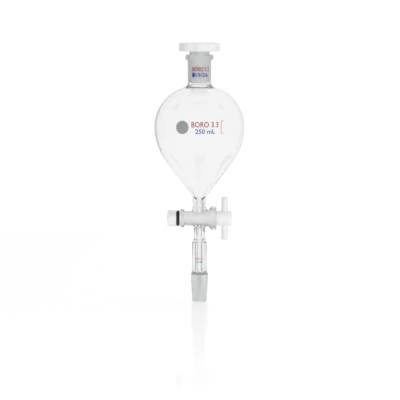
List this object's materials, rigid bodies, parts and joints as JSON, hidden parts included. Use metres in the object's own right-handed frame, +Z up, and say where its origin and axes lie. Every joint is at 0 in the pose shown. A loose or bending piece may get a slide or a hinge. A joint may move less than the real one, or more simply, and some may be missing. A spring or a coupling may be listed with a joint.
{
  "type": "separatory funnel",
  "caption": "Pear-shaped glass separatory funnel with a ground-joint neck and stopper, a stopcock with a T-handle and tension nut, and a thick outlet tube ending in a ground cone.",
  "frame": {"origin": "on the funnel's axis, at the lower end of the ground cone", "axes": "+Z up along the funnel's axis; +X along the stopcock towards its handle; the marking patch faces -Y, which is the front"},
  "size_m": [0.084, 0.084, 0.2421],
  "materials": {
    "glass": "clear, fire polished; ground joints frosted",
    "enamel": "matt, fired on",
    "polypropylene": "satin",
    "ptfe": "waxy, satin",
    "black_rubber": "matt"
  },
  "bodies": {
    "funnel": {"neck_socket": "glass", "bulb_shoulder": "glass", "bulb_belly": "glass", "bulb_cone": "glass", "marking_patch": "enamel", "upper_arm": "glass", "stopcock_barrel": "glass", "lower_arm": "glass", "outlet_joint": "glass"},
    "stopper": {"stopper": "polypropylene"},
    "plug": {"stopcock_plug": "ptfe", "handle_bar": "polypropylene", "tension_washer": "ptfe"},
    "o_ring": {"tension_o_ring": "black_rubber"},
    "nut": {"tension_nut": "polypropylene"}
  },
  "joints": [
    {"name": "stopper_lift", "type": "slide", "parent": "funnel", "child": "stopper", "axis": [0, 0, 1], "range_m": [0, 0.06]},
    {"name": "plug_turn", "type": "hinge", "parent": "funnel", "child": "plug", "pos_m": [0, 0, 0.0781], "axis": [1, 0, 0], "continuous": true},
    {"name": "nut_travel", "type": "slide", "parent": "plug", "child": "o_ring", "axis": [-1, 0, 0], "range_m": [0, 0.009]},
    {"name": "nut_turn", "type": "hinge", "parent": "o_ring", "child": "nut", "pos_m": [-0.026, 0, 0.0781], "axis": [-1, 0, 0], "range_deg": [0, 2160]}
  ],
  "couplings": [
    {"joint": "nut_travel", "follows": "nut_turn", "m_per_rad": 0.00023873}
  ]
}
